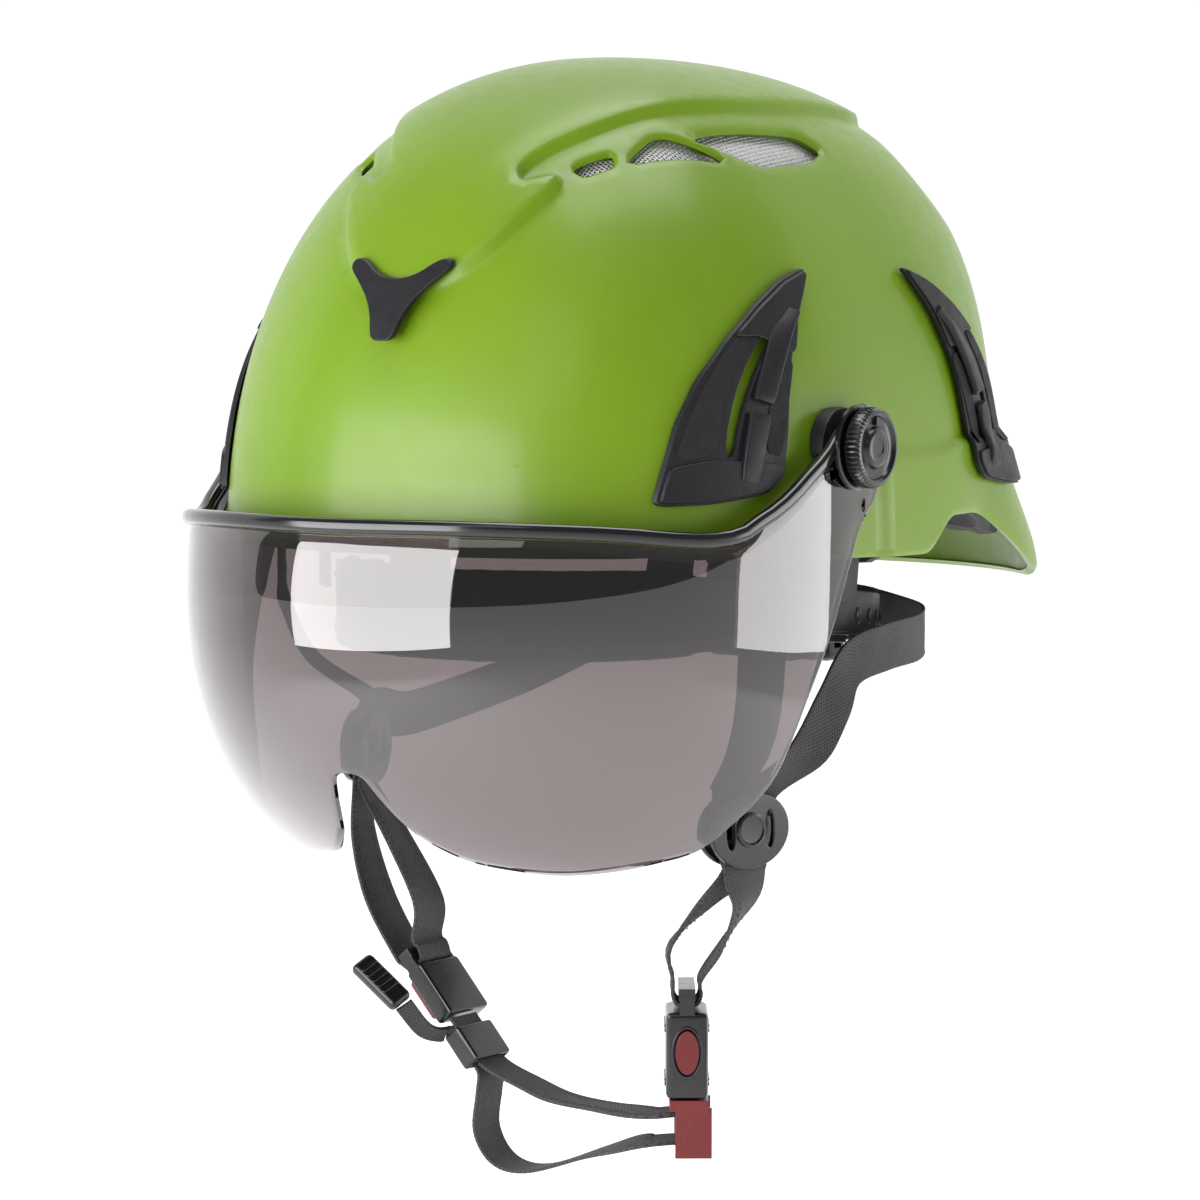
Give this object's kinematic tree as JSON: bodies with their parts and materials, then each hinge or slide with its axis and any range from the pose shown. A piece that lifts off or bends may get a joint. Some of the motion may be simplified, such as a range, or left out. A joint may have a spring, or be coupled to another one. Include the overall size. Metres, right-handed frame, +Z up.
{
  "type": "forestry helmet",
  "caption": "Vented work helmet with a tilting smoke visor, ratchet headband, lamp clips and an adjustable buckled chin strap.",
  "frame": {"origin": "centre of the head opening, in the plane of the headband fit, 7 mm below the shell rim", "axes": "+Z up through the crown, -Y towards the wearer's face, +X towards the wearer's left"},
  "size_m": [0.2378, 0.3056, 0.3515],
  "materials": {
    "shell_green": "satin moulded ABS",
    "liner_foam": "moulded foam skin",
    "steel_mesh": "woven wire",
    "black_nylon": "fine textured nylon",
    "gloss_black": "gloss",
    "smoke_lens": "clear smoke tint, lightly mirrored",
    "webbing": "woven polyester",
    "padding": "brushed textile",
    "red_plastic": "satin",
    "steel": "zinc plated"
  },
  "bodies": {
    "helmet": {"brow_pad": "padding", "buckle_housing": "black_nylon", "cradle_strap_cross": "webbing", "cradle_strap_long": "webbing", "crown_pad": "padding", "foam_liner": "liner_foam", "front_badge": "black_nylon", "front_strap_left": "webbing", "front_strap_right": "webbing", "headband_front": "black_nylon", "headband_hanger_left": "black_nylon", "headband_hanger_right": "black_nylon", "lamp_clip_front_left": "black_nylon", "lamp_clip_front_right": "black_nylon", "lamp_clip_rear_left": "black_nylon", "lamp_clip_rear_right": "black_nylon", "lower_loop_left": "webbing", "lower_loop_right": "webbing", "nape_pad": "padding", "nape_yoke": "black_nylon", "outer_shell": "shell_green", "pivot_pin_left": "steel", "pivot_pin_right": "steel", "ratchet_housing": "black_nylon", "rear_mesh_left": "steel_mesh", "rear_mesh_right": "steel_mesh", "rear_strap_left": "webbing", "rear_strap_right": "webbing", "side_band_left": "black_nylon", "side_band_right": "black_nylon", "strap_adjuster": "black_nylon", "strap_anchor_left": "black_nylon", "strap_anchor_right": "black_nylon", "strap_divider_left": "black_nylon", "strap_divider_right": "black_nylon", "vent_mesh_left": "steel_mesh", "vent_mesh_right": "steel_mesh", "visor_bracket_left": "black_nylon", "visor_bracket_right": "black_nylon"},
    "visor": {"visor_lens": "smoke_lens", "visor_band": "gloss_black"},
    "knob_left": {"visor_knob_left": "black_nylon"},
    "knob_right": {"visor_knob_right": "black_nylon"},
    "ratchet": {"ratchet_knob": "black_nylon", "ratchet_pinion": "steel"},
    "rack_left": {"band_rack_left": "black_nylon"},
    "rack_right": {"band_rack_right": "black_nylon"},
    "button_front": {"buckle_button_front": "red_plastic"},
    "button_back": {"buckle_button_back": "red_plastic"},
    "chin": {"buckle_tongue": "red_plastic", "chin_strap": "webbing", "strap_keeper": "black_nylon", "strap_tail": "webbing", "pull_tab": "black_nylon"},
    "lever": {"release_lever": "red_plastic"}
  },
  "joints": [
    {"name": "visor_tilt", "type": "hinge", "parent": "helmet", "child": "visor", "pos_m": [0, -0.035, 0.038], "axis": [-1, 0, 0], "range_deg": [0, 75]},
    {"name": "knob_left_turn", "type": "hinge", "parent": "helmet", "child": "knob_left", "pos_m": [0.116, -0.035, 0.038], "axis": [1, 0, 0], "range_deg": [-90, 270]},
    {"name": "knob_right_turn", "type": "hinge", "parent": "helmet", "child": "knob_right", "pos_m": [-0.116, -0.035, 0.038], "axis": [-1, 0, 0], "range_deg": [-90, 270]},
    {"name": "ratchet_turn", "type": "hinge", "parent": "helmet", "child": "ratchet", "pos_m": [0, 0.11, -0.0246], "axis": [0, 1, 0], "range_deg": [0, 120]},
    {"name": "rack_left_slide", "type": "slide", "parent": "helmet", "child": "rack_left", "axis": [1, 0, 0], "range_m": [0, 0.0074]},
    {"name": "rack_right_slide", "type": "slide", "parent": "helmet", "child": "rack_right", "axis": [-1, 0, 0], "range_m": [0, 0.0074]},
    {"name": "button_front_press", "type": "slide", "parent": "helmet", "child": "button_front", "axis": [-0.5593, 0.829, 0], "range_m": [0, 0.0018], "stiffness_N_per_m": 300, "springref_m": -0.002},
    {"name": "button_back_press", "type": "slide", "parent": "helmet", "child": "button_back", "axis": [0.5593, -0.829, 0], "range_m": [0, 0.0018], "stiffness_N_per_m": 300, "springref_m": -0.002},
    {"name": "chin_release", "type": "hinge", "parent": "helmet", "child": "chin", "pos_m": [-0.031, -0.034, -0.16], "axis": [0, 1, 0], "range_deg": [0, 60]},
    {"name": "lever_lift", "type": "hinge", "parent": "helmet", "child": "lever", "pos_m": [-0.0536, -0.031, -0.1377], "axis": [0, 1, 0], "range_deg": [0, 30]}
  ],
  "couplings": [
    {"joint": "rack_left_slide", "follows": "ratchet_turn", "m_per_rad": 0.0035},
    {"joint": "rack_right_slide", "follows": "ratchet_turn", "m_per_rad": 0.0035}
  ]
}
